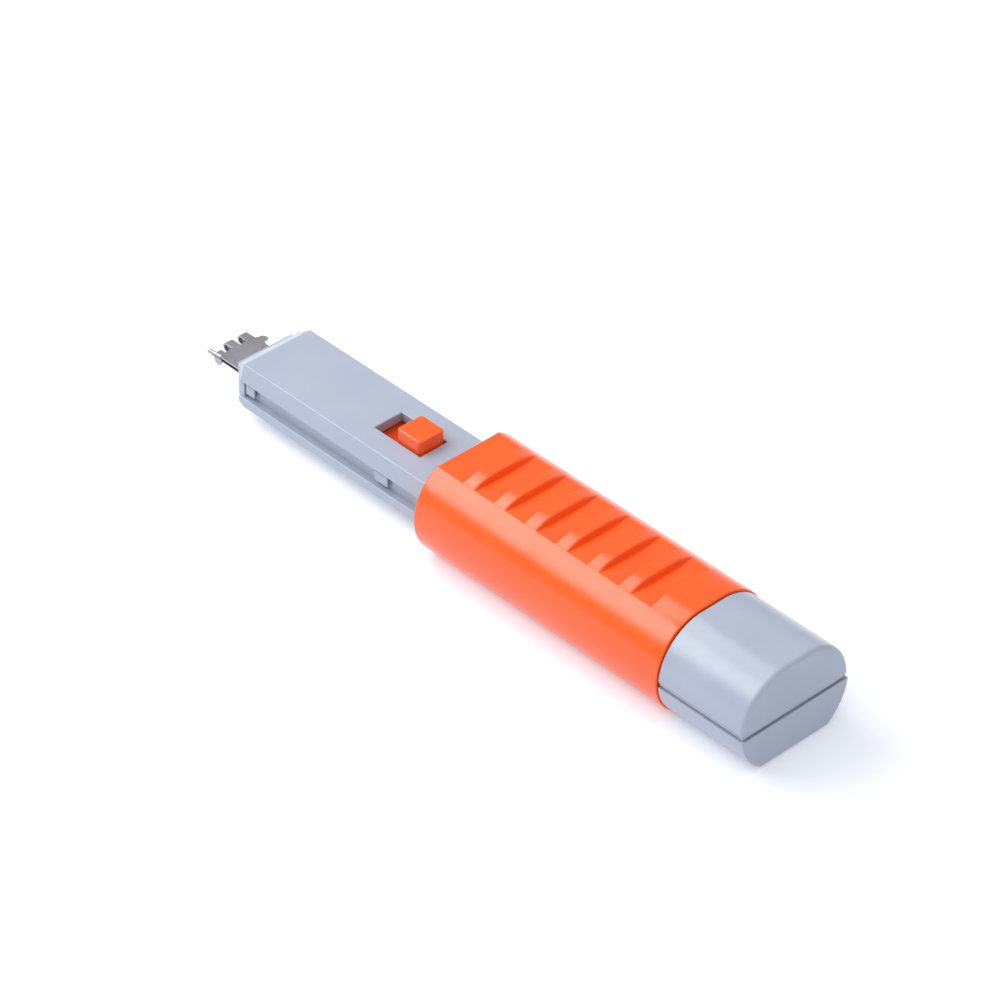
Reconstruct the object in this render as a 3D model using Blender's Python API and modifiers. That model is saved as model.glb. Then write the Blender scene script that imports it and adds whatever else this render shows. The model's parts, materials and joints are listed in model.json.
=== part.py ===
"""Slim hand knife with a stamped steel head, a thumb slide and a sliding guard sleeve.

The tool lies along X with its head towards -X, its thumb button up (+Z) and its sleeve
resting on the plane z = 0. The origin is the bottom centre of the whole tool.
Lengths below are millimetres. A station is a distance forward from the rear face of
the cap, and a height is a distance above the rest plane.
"""
import math

import bmesh
import bpy
from mathutils import Matrix, Vector

MM = 0.001
GAP = 0.3                     # clearance between neighbouring pieces
OVERALL = 147.7               # rear face of the cap to the tip of the steel head
REAR_X = OVERALL / 2

# Round-sided section shared by the sleeve and the cap
AXIS_HEIGHT = 9.05            # height of the side arcs' centres
ARC_STEPS = 11
SLEEVE_RADIUS = 10.6
SLEEVE_SPREAD = 2.5           # half distance between the two arc centres
SLEEVE_WALL = 1.8
SLEEVE_REAR = 20.4
SLEEVE_FRONT = 81.66

# Thumb recess and ribs on top of the sleeve
RECESS_HEIGHT = 18.35
RECESS_HALF_WIDTH = 7.35
RECESS_REAR = 27.5
RIB_COUNT = 6
RIB_FRONT = 74.6
RIB_PITCH = 7.85
RIB_WIDTH = 2.7

# Rear cap
CAP_RADIUS = 10.2
CAP_SPREAD = 2.6
CAP_LENGTH = 20.1
CAP_FLOOR = 0.45
CAP_GROOVE_TOP = 9.35
CAP_GROOVE_BOTTOM = 8.25
CAP_GROOVE_DEPTH = 0.35
LIP_BOTTOM = 8.55              # how far the upper cap half reaches into the lower one
CAP_WALL = 2.2
CAP_WEB = (7.0, 13.0)         # stations of the solid web that takes the rear screw
CAP_HOLLOW_FRONT = 18.0
SPIGOT_FRONT = 23.4
SPIGOT_REAR = 19.9            # inside the cap's front wall, so that the two merge

# Narrow slider that carries the head; it runs on through the sleeve as a tongue
SLIDER_HALF_WIDTH = 8.04
SLIDER_TOP = 13.44
SLIDER_FLOOR = 3.25
SLIDER_FRONT = 135.3
CORNER_CHAMFER = (133.2, 6.99)  # station where it starts, half width left at the front
BROW = (133.05, 12.3)           # station where the top slopes down, height at the front
CHIN = (133.6, 4.0)             # the same for the underside
UPPER_EDGE = 9.0              # lower edge of the upper shell's side walls
FLANGE_TOP = 5.25             # upper edge of the lower shell's flanges
LIP_OUTER = 6.6
LIP_TOP = 9.8
CAVITY_HALF_WIDTH = 5.4
CAVITY_FLOOR = 4.8
CAVITY_TOP = 11.5
CAVITY_EASE = 5.6              # half width of the upper shell's hollow, above the lips
SLIDER_REAR = 20.0            # where the slider's tongue merges with the cap

# Snap tabs of the upper shell, as station ranges
SNAP_TABS = ((94.5, 98.0), (130.9, 133.8))
TAB_OUTER = 7.5
POST_REAR = SNAP_TABS[1][1] + GAP  # lower shell's corner posts ahead of the front tabs

# Thumb slot and button
SLOT_REAR = 90.42
SLOT_FRONT = 102.55
SLOT_HALF_WIDTH = 3.31
BUTTON_LENGTH = 6.25
BUTTON_HALF_WIDTH = 3.05
BUTTON_TOP = 16.1
BUTTON_REAR = SLOT_REAR + GAP
BUTTON_MIDDLE = BUTTON_REAR + BUTTON_LENGTH / 2
BUTTON_SCREW_RADIUS = 0.8

# Carriage
CARRIAGE_REAR = 78.0
CARRIAGE_FRONT = 119.5
CARRIAGE_HALF_WIDTH = CAVITY_HALF_WIDTH - GAP
CARRIAGE_FLOOR = CAVITY_FLOOR + GAP
CARRIAGE_TOP = CAVITY_TOP - GAP
TANG_REAR = 108.0
PIN_STATIONS = (111.5, 116.0)
PIN_RADIUS = 1.1
PIN_TOP = 9.0
TANG_SLOT = (4.45, 5.65, 7.8)   # half width, floor and ceiling of the slot for the head
CARRIAGE_POCKET = (82.3, 106.0, -3.6, 3.6, 4.0, 10.0)

# Steel head
PLATE_TOP = 7.55
PLATE_THICKNESS = 0.35
LOWER_PLATE_TOP = 7.15
LOWER_PLATE_THICKNESS = 0.75
TANG_HALF_WIDTH = 4.1
HEAD_HALF_WIDTH = 4.5
WIDE_REAR = 137.5             # station where the tang widens into the head
FINGERS = ((-1.1, 0.65), (2.4, 4.15))   # left and right edges of the curled fingers
CURL_RADIUS = 1.0
CURL_STATION = OVERALL - CURL_RADIUS
ROLL_RADIUS = 0.47
ROLL_START = (144.4, -4.15)   # station and y of the rolled edge's ends
ROLL_END = (OVERALL, -4.42)
TAB_SPAN = (144.65, 146.7)    # stations of the tab that hangs from the rolled edge
TAB_BOTTOM = 4.8
TAB_SIDES = (-4.15, -3.8)

# Nose guide
NOSE_REAR = 126.0
NOSE_FRONT = 137.0
NOSE_HALF_WIDTH = 6.85
NOSE_BOTTOM = 4.2
NOSE_TOP = 11.2
NOSE_CHAMFER = (136.2, 6.2)   # station where it starts, half width left at the front
NOSE_BODY_FRONT = 136.0
NOSE_KEYS = (129.0, 131.0)
NOSE_KEY_HALF_WIDTH = 5.9
NOSE_SLOT = (4.5, 5.6, 7.85)  # half width, floor and ceiling

# Return spring line
ROD_HEIGHT = 8.3
ROD_RADIUS = 1.2
ROD_REAR = 54.6
ROD_FRONT = 82.9
ROD_HEAD_RADIUS = 1.7
STOP_PLATE = (74.0, 75.2)
STOP_HALF_WIDTH = 5.9
BUMPER = (75.5, 77.7)
SPRING_LENGTH = (58.8, 73.7)
SPRING_RADIUS = 2.3
SPRING_WIRE = 0.3
SPRING_TURNS = 6
WASHER = (57.7, 58.5)
NUT = (55.6, 57.4)

# Screws
SCREW_HEAD_RADIUS = 2.3
SCREW_HEAD = 1.4
SCREW_RADIUS = 1.1
SCREW_LENGTH = 6.1
REAR_SCREW = (10.0, 2.6)      # station and height of the underside of the head
FRONT_SCREW = (30.0, 3.5)
BOSS = (27.0, 33.0)
BOSS_HALF_WIDTH = 3.0
RIVET_STATION = 28.5
RIVET_RADIUS = 0.8

GREY = (0.48, 0.54, 0.62, 1.0)
ORANGE = (1.0, 0.14, 0.02, 1.0)
STEEL = (0.45, 0.44, 0.43, 1.0)
BLACK = (0.03, 0.03, 0.03, 1.0)


def clear_scene():
    for obj in list(bpy.data.objects):
        bpy.data.objects.remove(obj, do_unlink=True)


def new_collection(name):
    collection = bpy.data.collections.new(name)
    bpy.context.scene.collection.children.link(collection)
    return collection


def material(name, colour, roughness, metallic):
    mat = bpy.data.materials.new(name)
    mat.use_nodes = True
    shader = mat.node_tree.nodes["Principled BSDF"]
    shader.inputs["Base Color"].default_value = colour
    shader.inputs["Roughness"].default_value = roughness
    shader.inputs["Metallic"].default_value = metallic
    return mat


def world(station, y, height):
    """Point in metres for a station, a side offset and a height in millimetres."""
    return Vector(((REAR_X - station) * MM, y * MM, height * MM))


# ------------------------------------------------------------------ shapes

def outline_mesh(name, outlines, thickness, matrix):
    """Closed plate from flat outlines; later outlines are holes in the first."""
    curve = bpy.data.curves.new(name, "CURVE")
    curve.dimensions = "2D"
    curve.fill_mode = "BOTH"
    curve.extrude = thickness / 2
    for outline in outlines:
        spline = curve.splines.new("POLY")
        spline.points.add(len(outline) - 1)
        for point, (u, v) in zip(spline.points, outline):
            point.co = (u, v, 0.0, 1.0)
        spline.use_cyclic_u = True
    guide = bpy.data.objects.new(name + "_outline", curve)
    bpy.context.scene.collection.objects.link(guide)
    depsgraph = bpy.context.evaluated_depsgraph_get()
    mesh = bpy.data.meshes.new_from_object(guide.evaluated_get(depsgraph))
    bpy.data.objects.remove(guide)
    mesh.transform(matrix)
    weld(mesh)
    return mesh


def weld(mesh):
    bm = bmesh.new()
    bm.from_mesh(mesh)
    bmesh.ops.remove_doubles(bm, verts=bm.verts, dist=0.001 * MM)
    bmesh.ops.recalc_face_normals(bm, faces=bm.faces)
    bm.to_mesh(mesh)
    bm.free()


def section(name, outline, rear, front):
    """Prism along the tool from an outline of (y, height) points."""
    turn = Matrix(((0, 0, 1, 0), (1, 0, 0, 0), (0, 1, 0, 0), (0, 0, 0, 1)))
    shift = Matrix.Translation((REAR_X - (rear + front) / 2, 0, 0))
    scale = Matrix.Scale(MM, 4)
    return outline_mesh(name, [outline], front - rear, scale @ shift @ turn)


def plan(name, outlines, bottom, top):
    """Level plate from outlines of (station, y) points."""
    flipped = [[(-s, y) for s, y in outline] for outline in outlines]
    shift = Matrix.Translation((REAR_X, 0, (bottom + top) / 2))
    return outline_mesh(name, flipped, top - bottom, Matrix.Scale(MM, 4) @ shift)


def side_view(name, outline, left, right):
    """Plate standing along the tool from an outline of (station, height) points."""
    flipped = [(-s, h) for s, h in outline]
    shift = Matrix.Translation((REAR_X, (left + right) / 2, 0))
    turn = Matrix.Rotation(math.pi / 2, 4, "X")
    return outline_mesh(name, [flipped], right - left, Matrix.Scale(MM, 4) @ shift @ turn)


def boxes(name, blocks):
    """Mesh of blocks, each (rear, front, left, right, bottom, top)."""
    bm = bmesh.new()
    for rear, front, left, right, bottom, top in blocks:
        size = Vector((front - rear, right - left, top - bottom)) * MM
        centre = world((rear + front) / 2, (left + right) / 2, (bottom + top) / 2)
        matrix = Matrix.Translation(centre) @ Matrix.Diagonal(size).to_4x4()
        bmesh.ops.create_cube(bm, size=1.0, matrix=matrix)
    mesh = bpy.data.meshes.new(name)
    bm.to_mesh(mesh)
    bm.free()
    return mesh


def tube_mesh(name, near, far):
    """Solid between two rings of world points."""
    bm = bmesh.new()
    rows = [[bm.verts.new(point) for point in ring] for ring in (near, far)]
    for i in range(len(near)):
        j = (i + 1) % len(near)
        bm.faces.new((rows[0][i], rows[0][j], rows[1][j], rows[1][i]))
    bm.faces.new(rows[0])
    bm.faces.new(rows[1])
    bmesh.ops.recalc_face_normals(bm, faces=bm.faces)
    mesh = bpy.data.meshes.new(name)
    bm.to_mesh(mesh)
    bm.free()
    return mesh


def rod(name, radius, length, centre, axis="X", sides=16):
    """Cylinder in millimetres about a world point in metres."""
    turns = {"X": Matrix.Rotation(math.pi / 2, 4, "Y"), "Z": Matrix.Identity(4)}
    matrix = Matrix.Translation(centre) @ turns[axis]
    bm = bmesh.new()
    bmesh.ops.create_cone(bm, cap_ends=True, segments=sides, radius1=radius * MM,
                          radius2=radius * MM, depth=length * MM, matrix=matrix)
    mesh = bpy.data.meshes.new(name)
    bm.to_mesh(mesh)
    bm.free()
    return mesh


def arc(centre, radius, start, stop, steps):
    """Points on an arc, angles in degrees."""
    angles = [math.radians(start + (stop - start) * i / steps) for i in range(steps + 1)]
    return [(centre[0] + radius * math.cos(a), centre[1] + radius * math.sin(a))
            for a in angles]


def round_section(radius, spread, floor, ceiling):
    """Outline with two side arcs, cut flat at a floor and at a ceiling."""
    low = math.degrees(math.asin(max(-1.0, (floor - AXIS_HEIGHT) / radius)))
    high = math.degrees(math.asin(min(1.0, (ceiling - AXIS_HEIGHT) / radius)))
    right = arc((spread, AXIS_HEIGHT), radius, low, high, ARC_STEPS)
    return right + [(-y, h) for y, h in reversed(right)]


# ------------------------------------------------------------------ scene helpers

class Bench:
    """Collections, materials and the bookkeeping that every piece needs."""

    def __init__(self):
        self.parts = new_collection("sliding_guard_knife")
        self.cutters = new_collection("cutters")
        self.grey = material("grey_plastic", GREY, 0.42, 0.0)
        self.orange = material("orange_plastic", ORANGE, 0.38, 0.0)
        self.steel = material("stamped_steel", STEEL, 0.32, 1.0)
        self.dark_steel = material("blackened_steel", BLACK, 0.45, 1.0)
        self.black = material("black_rubber", BLACK, 0.7, 0.0)

    def empty(self, name, station, height):
        """Joint frame on the line that a group of pieces slides along."""
        holder = bpy.data.objects.new(name, None)
        holder.empty_display_size = 0.01
        holder.location = world(station, 0, height)
        self.parts.objects.link(holder)
        return holder

    def piece(self, name, mesh, mat, parent=None):
        """Visible piece whose origin is its parent's, or the tool's."""
        obj = bpy.data.objects.new(name, mesh)
        if parent:
            mesh.transform(Matrix.Translation(-parent.location))
            obj.parent = parent
        mesh.materials.clear()
        mesh.materials.append(mat)
        mesh.shade_smooth()
        mesh.set_sharp_from_angle(angle=math.radians(35))
        self.parts.objects.link(obj)
        return obj

    def tool(self, name, mesh, parent=None):
        """Hidden shape that cuts or joins a piece."""
        obj = bpy.data.objects.new(name, mesh)
        if parent:
            mesh.transform(Matrix.Translation(-parent.location))
            obj.parent = parent
        obj.hide_render = True
        obj.display_type = "WIRE"
        self.cutters.objects.link(obj)
        return obj


def combine(obj, operation, tool):
    modifier = obj.modifiers.new(tool.name, "BOOLEAN")
    modifier.operation = operation
    modifier.object = tool


def cut(obj, tool):
    combine(obj, "DIFFERENCE", tool)


def join(obj, tool):
    combine(obj, "UNION", tool)


def soften(obj, width, segments=2):
    modifier = obj.modifiers.new("edges", "BEVEL")
    modifier.width = width * MM
    modifier.segments = segments
    modifier.limit_method = "ANGLE"
    modifier.angle_limit = math.radians(40)


# ------------------------------------------------------------------ housing

def slider_corner_cutter(bench):
    """Wedges that chamfer the slider's front corners in plan and its top front edge."""
    far = NOSE_FRONT + 2
    meshes = []
    for side in (-1, 1):
        start, narrow = CORNER_CHAMFER
        wedge = [(start, side * SLIDER_HALF_WIDTH), (start, side * 9.5), (far, side * 9.5),
                 (far, side * 6.25), (SLIDER_FRONT, side * narrow)]
        meshes.append(plan("corner", [wedge[::side]], 0, 20))
    start, low = BROW
    meshes.append(side_view("brow", [(start, SLIDER_TOP), (start, 16), (far, 16),
                                     (far, low - 0.9), (SLIDER_FRONT, low)], -10, 10))
    start, low = CHIN
    meshes.append(side_view("chin", [(start, SLIDER_FLOOR), (start, 1), (far, 1),
                                     (far, low + 0.9), (SLIDER_FRONT, low)], -10, 10))
    return [bench.tool("slider_corner_cut_%d" % i, mesh) for i, mesh in enumerate(meshes)]


def cap_half(bench, name, outline, lip_outline, cavity):
    """One half of the rear cap with its rounded rear edge and its webbed hollow."""
    half = bench.tool(name, section(name, outline, 0, CAP_LENGTH))
    soften(half, 0.9, 3)
    if lip_outline:
        lip = section(name + "_lip", lip_outline, CAP_GROOVE_DEPTH, CAP_LENGTH)
        join(half, bench.tool(name + "_lip", lip))
    for i, (rear, front) in enumerate(((CAP_WALL, CAP_WEB[0]), (CAP_WEB[1], CAP_HOLLOW_FRONT))):
        hollow = section(name + "_hollow", cavity, rear, front)
        cut(half, bench.tool("%s_hollow_%d" % (name, i), hollow))
    return half


def screw_bore(bench, name, station, bottom, top, seat):
    """Clearance hole with a counterbore below the height of the screw seat."""
    centre = world(station, 0, (bottom + top) / 2)
    bore = bench.tool(name, rod(name, SCREW_RADIUS + GAP, top - bottom, centre, "Z"))
    if seat:
        depth = seat - bottom
        centre = world(station, 0, bottom + depth / 2)
        sink_mesh = rod(name + "_sink", SCREW_HEAD_RADIUS + GAP, depth, centre, "Z", 20)
        join(bore, bench.tool(name + "_sink", sink_mesh))
    return bore


def upper_shell(bench, corners):
    outer = SLIDER_HALF_WIDTH
    skirt = LIP_OUTER + GAP
    right = [(skirt, UPPER_EDGE), (outer, UPPER_EDGE), (outer, SLIDER_TOP)]
    inner = [(CAVITY_EASE, CAVITY_TOP), (CAVITY_EASE, LIP_TOP + GAP),
             (skirt, LIP_TOP + GAP)]
    outline = right + [(-y, h) for y, h in reversed(right)]
    outline += [(-y, h) for y, h in reversed(inner)] + inner
    mesh = section("upper_shell", outline, SLIDER_REAR, SLIDER_FRONT)
    shell = bench.piece("upper_shell", mesh, bench.grey)
    top = round_section(CAP_RADIUS, CAP_SPREAD, CAP_GROOVE_TOP, 99)
    lip = round_section(CAP_RADIUS - CAP_GROOVE_DEPTH, CAP_SPREAD, LIP_BOTTOM, 16)
    hollow = round_section(CAP_RADIUS - CAP_WALL, CAP_SPREAD, 8.0, 99)
    join(shell, cap_half(bench, "cap_top", top, lip, hollow))
    collar = round_section(SLEEVE_RADIUS - SLEEVE_WALL - GAP, SLEEVE_SPREAD, LIP_BOTTOM, 16.45)
    spigot = section("spigot_top", collar, SPIGOT_REAR, SPIGOT_FRONT)
    join(shell, bench.tool("spigot_top", spigot))
    join(shell, bench.tool("upper_boss", boxes("upper_boss", [
        (*BOSS, -BOSS_HALF_WIDTH, BOSS_HALF_WIDTH, 8.6, CAVITY_TOP + 0.4)])))
    tabs = []
    for rear, front in SNAP_TABS:
        for low, high in ((skirt, TAB_OUTER), (-TAB_OUTER, -skirt)):
            tabs.append((rear, front, low, high, FLANGE_TOP + GAP, UPPER_EDGE + 0.5))
    join(shell, bench.tool("snap_tabs", boxes("snap_tabs", tabs)))
    cut(shell, bench.tool("thumb_slot", boxes("thumb_slot", [
        (SLOT_REAR, SLOT_FRONT, -SLOT_HALF_WIDTH, SLOT_HALF_WIDTH, 10.5, 15)])))
    cut(shell, screw_bore(bench, "rear_pilot", REAR_SCREW[0], 8.0, 10.6, None))
    cut(shell, screw_bore(bench, "front_pilot", FRONT_SCREW[0], 8.0, 11.3, None))
    for corner in corners:
        cut(shell, corner)
    return shell


def lower_shell(bench, corners):
    outer = SLIDER_HALF_WIDTH
    right = [(outer, SLIDER_FLOOR), (outer, FLANGE_TOP), (LIP_OUTER, FLANGE_TOP),
             (LIP_OUTER, LIP_TOP), (CAVITY_HALF_WIDTH, LIP_TOP),
             (CAVITY_HALF_WIDTH, CAVITY_FLOOR)]
    outline = right + [(-y, h) for y, h in reversed(right)]
    mesh = section("lower_shell", outline, SLIDER_REAR, SLIDER_FRONT)
    shell = bench.piece("lower_shell", mesh, bench.grey)
    cut(shell, bench.tool("lip_end", boxes("lip_end", [
        (19, SPIGOT_FRONT + GAP, -9, 9, CAP_GROOVE_BOTTOM, 12)])))
    bottom = round_section(CAP_RADIUS, CAP_SPREAD, CAP_FLOOR, CAP_GROOVE_BOTTOM)
    hollow = round_section(CAP_RADIUS - CAP_WALL, CAP_SPREAD, 2.6, 9.0)
    join(shell, cap_half(bench, "cap_bottom", bottom, None, hollow))
    collar = round_section(SLEEVE_RADIUS - SLEEVE_WALL - GAP, SLEEVE_SPREAD, 2.1,
                           CAP_GROOVE_BOTTOM)
    spigot = section("spigot_bottom", collar, SPIGOT_REAR, SPIGOT_FRONT)
    join(shell, bench.tool("spigot_bottom", spigot))
    join(shell, bench.tool("lower_boss", boxes("lower_boss", [
        (*BOSS, -BOSS_HALF_WIDTH, BOSS_HALF_WIDTH, CAVITY_FLOOR - 0.4, 8.3)])))
    posts = []
    for side in (-1, 1):
        edges = sorted((side * (LIP_OUTER - 0.2), side * TAB_OUTER))
        posts.append((POST_REAR, SLIDER_FRONT, *edges, FLANGE_TOP - 0.2, UPPER_EDGE - GAP))
    join(shell, bench.tool("corner_posts", boxes("corner_posts", posts)))
    pockets = []
    for side in (-1, 1):
        edges = sorted((side * 5.0, side * (STOP_HALF_WIDTH + GAP)))
        for rear, front in (STOP_PLATE, NOSE_KEYS):
            pockets.append((rear - GAP, front + GAP, *edges, CAVITY_FLOOR, 12))
    cut(shell, bench.tool("lip_pockets", boxes("lip_pockets", pockets)))
    cut(shell, screw_bore(bench, "rear_bore", REAR_SCREW[0], 0.0, 9.0,
                          REAR_SCREW[1] + SCREW_HEAD + GAP))
    cut(shell, screw_bore(bench, "front_bore", FRONT_SCREW[0], 2.5, 9.0,
                          FRONT_SCREW[1] + SCREW_HEAD + GAP))
    for corner in corners:
        cut(shell, corner)
    return shell


def nose_guide(bench):
    """Guide block in the slider's mouth, with a flange and side keys."""
    half = CARRIAGE_HALF_WIDTH
    start, narrow = NOSE_CHAMFER
    flange = [(SLIDER_FRONT + GAP, -NOSE_HALF_WIDTH), (SLIDER_FRONT + GAP, NOSE_HALF_WIDTH),
              (start, NOSE_HALF_WIDTH), (NOSE_FRONT, narrow), (NOSE_FRONT, -narrow),
              (start, -NOSE_HALF_WIDTH)]
    nose = bench.piece("nose_guide", plan("nose_guide", [flange], NOSE_BOTTOM, NOSE_TOP),
                       bench.grey)
    join(nose, bench.tool("nose_body", boxes("nose_body", [
        (NOSE_REAR, NOSE_BODY_FRONT, -half, half, CARRIAGE_FLOOR, CARRIAGE_TOP - GAP)])))
    join(nose, bench.tool("nose_keys", boxes("nose_keys", [
        (*NOSE_KEYS, -NOSE_KEY_HALF_WIDTH, NOSE_KEY_HALF_WIDTH, CARRIAGE_FLOOR, 9.4)])))
    half, floor, ceiling = NOSE_SLOT
    cut(nose, bench.tool("nose_slot", boxes("nose_slot", [
        (NOSE_REAR - 1, NOSE_FRONT + 1, -half, half, floor, ceiling)])))
    return nose


def screw(bench, name, place):
    """Pan head screw pointing up, with a hexagonal socket in its head."""
    station, seat = place
    head = rod(name, SCREW_HEAD_RADIUS, SCREW_HEAD,
               world(station, 0, seat + SCREW_HEAD / 2), "Z", 20)
    obj = bench.piece(name, head, bench.steel)
    shank_centre = world(station, 0, seat + SCREW_HEAD + SCREW_LENGTH / 2 - 0.2)
    shank = rod(name + "_shank", SCREW_RADIUS, SCREW_LENGTH + 0.4, shank_centre, "Z", 12)
    join(obj, bench.tool(name + "_shank", shank))
    socket = rod(name + "_socket", 1.1, 1.6, world(station, 0, seat), "Z", 6)
    cut(obj, bench.tool(name + "_socket", socket))
    return obj


def stop_plate(bench):
    """Steel plate across the tongue that the return spring pushes against."""
    rear, front = STOP_PLATE
    mesh = boxes("stop_plate", [(rear, front, -STOP_HALF_WIDTH, STOP_HALF_WIDTH,
                                 CARRIAGE_FLOOR, LIP_TOP)])
    plate = bench.piece("spring_stop_plate", mesh, bench.steel)
    hole = rod("stop_hole", ROD_RADIUS + GAP, 4, world(rear, 0, ROD_HEIGHT))
    cut(plate, bench.tool("stop_hole", hole))
    return plate


def ring(bench, name, span, radius, mat, parent=None, sides=20):
    """Washer-like ring around the pull rod."""
    rear, front = span
    centre = world((rear + front) / 2, 0, ROD_HEIGHT)
    obj = bench.piece(name, rod(name, radius, front - rear, centre, "X", sides), mat, parent)
    hole = rod(name + "_hole", ROD_RADIUS + GAP, front - rear + 2, centre, "X", 16)
    cut(obj, bench.tool(name + "_hole", hole, parent))
    return obj


# ------------------------------------------------------------------ carriage

def carriage(bench, parent):
    """Orange slide block: an open-bottomed channel with a solid front for the head."""
    half = CARRIAGE_HALF_WIDTH
    block = bench.piece("carriage", boxes("carriage", [
        (CARRIAGE_REAR, CARRIAGE_FRONT, -half, half, CARRIAGE_FLOOR, CARRIAGE_TOP)]),
        bench.orange, parent)
    pocket = boxes("carriage_pocket", [CARRIAGE_POCKET])
    cut(block, bench.tool("carriage_pocket", pocket, parent))
    half, floor, ceiling = TANG_SLOT
    slot = boxes("tang_slot", [(TANG_REAR - GAP, CARRIAGE_FRONT + 1, -half, half, floor,
                                ceiling)])
    cut(block, bench.tool("tang_slot", slot, parent))
    rod_hole = rod("rod_hole", ROD_RADIUS + GAP, 8, world(80, 0, ROD_HEIGHT))
    cut(block, bench.tool("rod_hole", rod_hole, parent))
    for i, station in enumerate(PIN_STATIONS):
        centre = world(station, 0, (4 + PIN_TOP + GAP) / 2)
        hole = rod("pin_hole", PIN_RADIUS + GAP, PIN_TOP + GAP - 4, centre, "Z", 12)
        cut(block, bench.tool("pin_hole_%d" % i, hole, parent))
    screw_hole = rod("button_screw_hole", BUTTON_SCREW_RADIUS + GAP, 4,
                     world(BUTTON_MIDDLE, 0, 11), "Z", 12)
    cut(block, bench.tool("button_screw_hole", screw_hole, parent))
    return block


def thumb_button(bench, parent):
    """Square button that stands on the carriage and comes up through the slot."""
    half = BUTTON_HALF_WIDTH
    button = bench.piece("thumb_button", boxes("thumb_button", [
        (BUTTON_REAR, BUTTON_REAR + BUTTON_LENGTH, -half, half,
         CARRIAGE_TOP + GAP, BUTTON_TOP)]), bench.orange, parent)
    soften(button, 0.5, 3)
    hole = rod("button_bore", BUTTON_SCREW_RADIUS + GAP, 4, world(BUTTON_MIDDLE, 0, 12.8),
               "Z", 12)
    cut(button, bench.tool("button_bore", hole, parent))
    return button


def button_screw(bench, parent):
    """Small screw that holds the button down on the carriage from below."""
    shank = rod("button_screw", BUTTON_SCREW_RADIUS, 5.2, world(BUTTON_MIDDLE, 0, 11.8), "Z",
                12)
    obj = bench.piece("button_screw", shank, bench.steel, parent)
    head = rod("button_screw_head", 1.7, 1.0, world(BUTTON_MIDDLE, 0, 9.2), "Z", 16)
    join(obj, bench.tool("button_screw_head", head, parent))
    return obj


def curl_outline():
    """Side view of a finger's front end: level, then round and back under itself."""
    centre = (CURL_STATION, PLATE_TOP - CURL_RADIUS)
    outer = arc(centre, CURL_RADIUS, 90, -190, 20)
    inner = arc(centre, CURL_RADIUS - PLATE_THICKNESS, -190, 90, 20)
    root = CURL_STATION - 0.6
    return outer + inner + [(root, PLATE_TOP - PLATE_THICKNESS), (root, PLATE_TOP)]


def head_outline():
    """Plan of the top plate: near corner, two fingers with gaps, far barb and tang."""
    near = [(TANG_REAR, -TANG_HALF_WIDTH), (WIDE_REAR, -TANG_HALF_WIDTH),
            (WIDE_REAR + 0.5, -HEAD_HALF_WIDTH), (ROLL_START[0], -HEAD_HALF_WIDTH),
            (ROLL_START[0], -4.2), (145.92, -4.2), (145.92, -2.95), (144.75, -3.05)]
    fingers = []
    for left, right in FINGERS:
        fingers += [(144.85, left), (CURL_STATION, left), (CURL_STATION, right),
                    (144.6, right)]
    barb = [(144.34, 4.66), (144.27, 5.1), (144.1, 5.57), (143.71, 5.85), (143.08, 5.92),
            (142.67, 5.79), (142.5, 5.4), (142.55, 4.9), (142.4, 4.5), (141.6, 4.35),
            (WIDE_REAR + 0.5, 4.3), (WIDE_REAR, TANG_HALF_WIDTH)]
    return (near + fingers + barb + [(TANG_REAR, TANG_HALF_WIDTH)])[::-1]


def head_upper_plate(bench, parent):
    """Plate with a rolled near edge, a hanging tab, two curled fingers and a far barb."""
    holes = [arc((s, 0), PIN_RADIUS + GAP, 0, 330, 11) for s in PIN_STATIONS]
    mesh = plan("head_upper_plate", [head_outline()] + holes, PLATE_TOP - PLATE_THICKNESS,
                PLATE_TOP)
    plate = bench.piece("head_upper_plate", mesh, bench.steel, parent)
    for i, (left, right) in enumerate(FINGERS):
        curl = side_view("finger_curl", curl_outline(), left, right)
        join(plate, bench.tool("finger_curl_%d" % i, curl, parent))
    roll_height = PLATE_TOP - ROLL_RADIUS + 0.02
    rings = []
    for station, y in (ROLL_START, ROLL_END):
        ring = arc((y, roll_height), ROLL_RADIUS, 0, 330, 11)
        rings.append([world(station, a, h) for a, h in ring])
    join(plate, bench.tool("rolled_edge", tube_mesh("rolled_edge", *rings), parent))
    rear, front = TAB_SPAN
    reach = (front - rear) / 2
    drop = [(rear, roll_height), (front, roll_height)]
    drop += arc(((rear + front) / 2, TAB_BOTTOM + reach), reach, 0, -180, 8)
    tab = side_view("hanging_tab", drop, *TAB_SIDES)
    join(plate, bench.tool("hanging_tab", tab, parent))
    return plate


def head_lower_plate(bench, parent):
    """Dark backing plate that stiffens the top plate from below."""
    half = TANG_HALF_WIDTH - 0.15
    near = 0.1 - HEAD_HALF_WIDTH
    outline = [(TANG_REAR, -half), (TANG_REAR, half), (141.6, half), (143.4, 2.6),
               (143.9, -2.4), (144.3, -3.4), (144.3, near), (WIDE_REAR + 0.5, near),
               (WIDE_REAR, -half)]
    holes = [arc((s, 0), PIN_RADIUS + GAP, 0, 330, 11) for s in PIN_STATIONS]
    mesh = plan("head_lower_plate", [outline] + holes, LOWER_PLATE_TOP - LOWER_PLATE_THICKNESS,
                LOWER_PLATE_TOP)
    return bench.piece("head_lower_plate", mesh, bench.dark_steel, parent)


def head_pin(bench, name, station, parent):
    height = PIN_TOP - CARRIAGE_FLOOR
    mesh = rod(name, PIN_RADIUS, height, world(station, 0, CARRIAGE_FLOOR + height / 2), "Z")
    return bench.piece(name, mesh, bench.steel, parent)


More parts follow.
